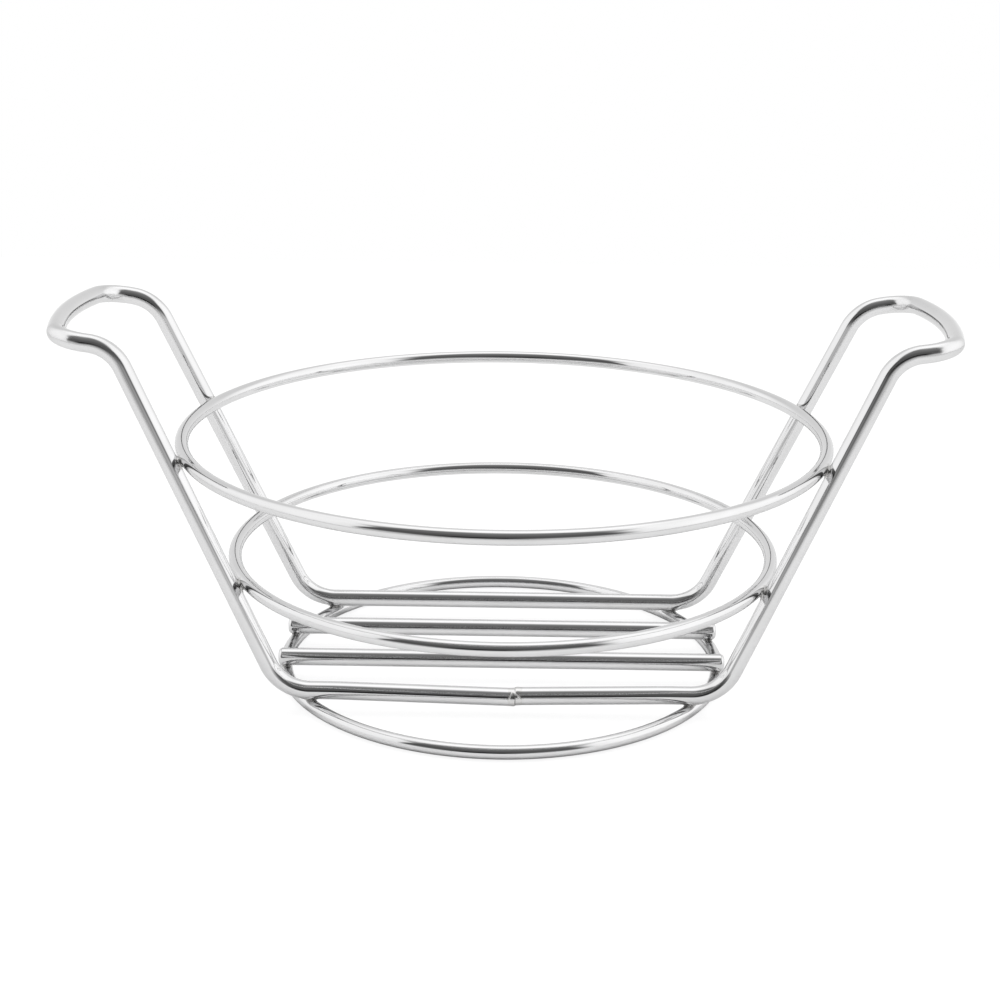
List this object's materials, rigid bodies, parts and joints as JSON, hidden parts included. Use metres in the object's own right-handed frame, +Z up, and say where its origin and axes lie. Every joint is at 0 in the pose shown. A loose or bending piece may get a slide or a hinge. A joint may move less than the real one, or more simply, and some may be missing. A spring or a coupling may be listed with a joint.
{
  "type": "wire carrier basket",
  "caption": "Open round carrier basket welded from polished round wire, with rings that widen upwards and two bent lifting grips.",
  "frame": {"origin": "centre of the base ring, on the surface that the basket stands on", "axes": "+X towards the right grip, +Y towards the rear run, +Z up; the frame's butt weld is in the front run, at -Y"},
  "size_m": [0.3958, 0.293, 0.1699],
  "materials": {
    "frame_wire": "polished stainless steel",
    "ring_wire": "polished stainless steel",
    "floor_bar": "polished stainless steel",
    "weld_bead": "cast surface of a small weld, electropolished"
  },
  "bodies": {
    "root": {"handle_frame": "frame_wire", "frame_butt_weld": "weld_bead", "top_ring": "ring_wire", "middle_ring": "ring_wire", "base_ring": "ring_wire", "front_floor_bar": "floor_bar", "rear_floor_bar": "floor_bar", "top_ring_welds": "weld_bead", "middle_ring_welds": "weld_bead", "run_welds": "weld_bead", "bar_welds": "weld_bead"}
  },
  "joints": []
}
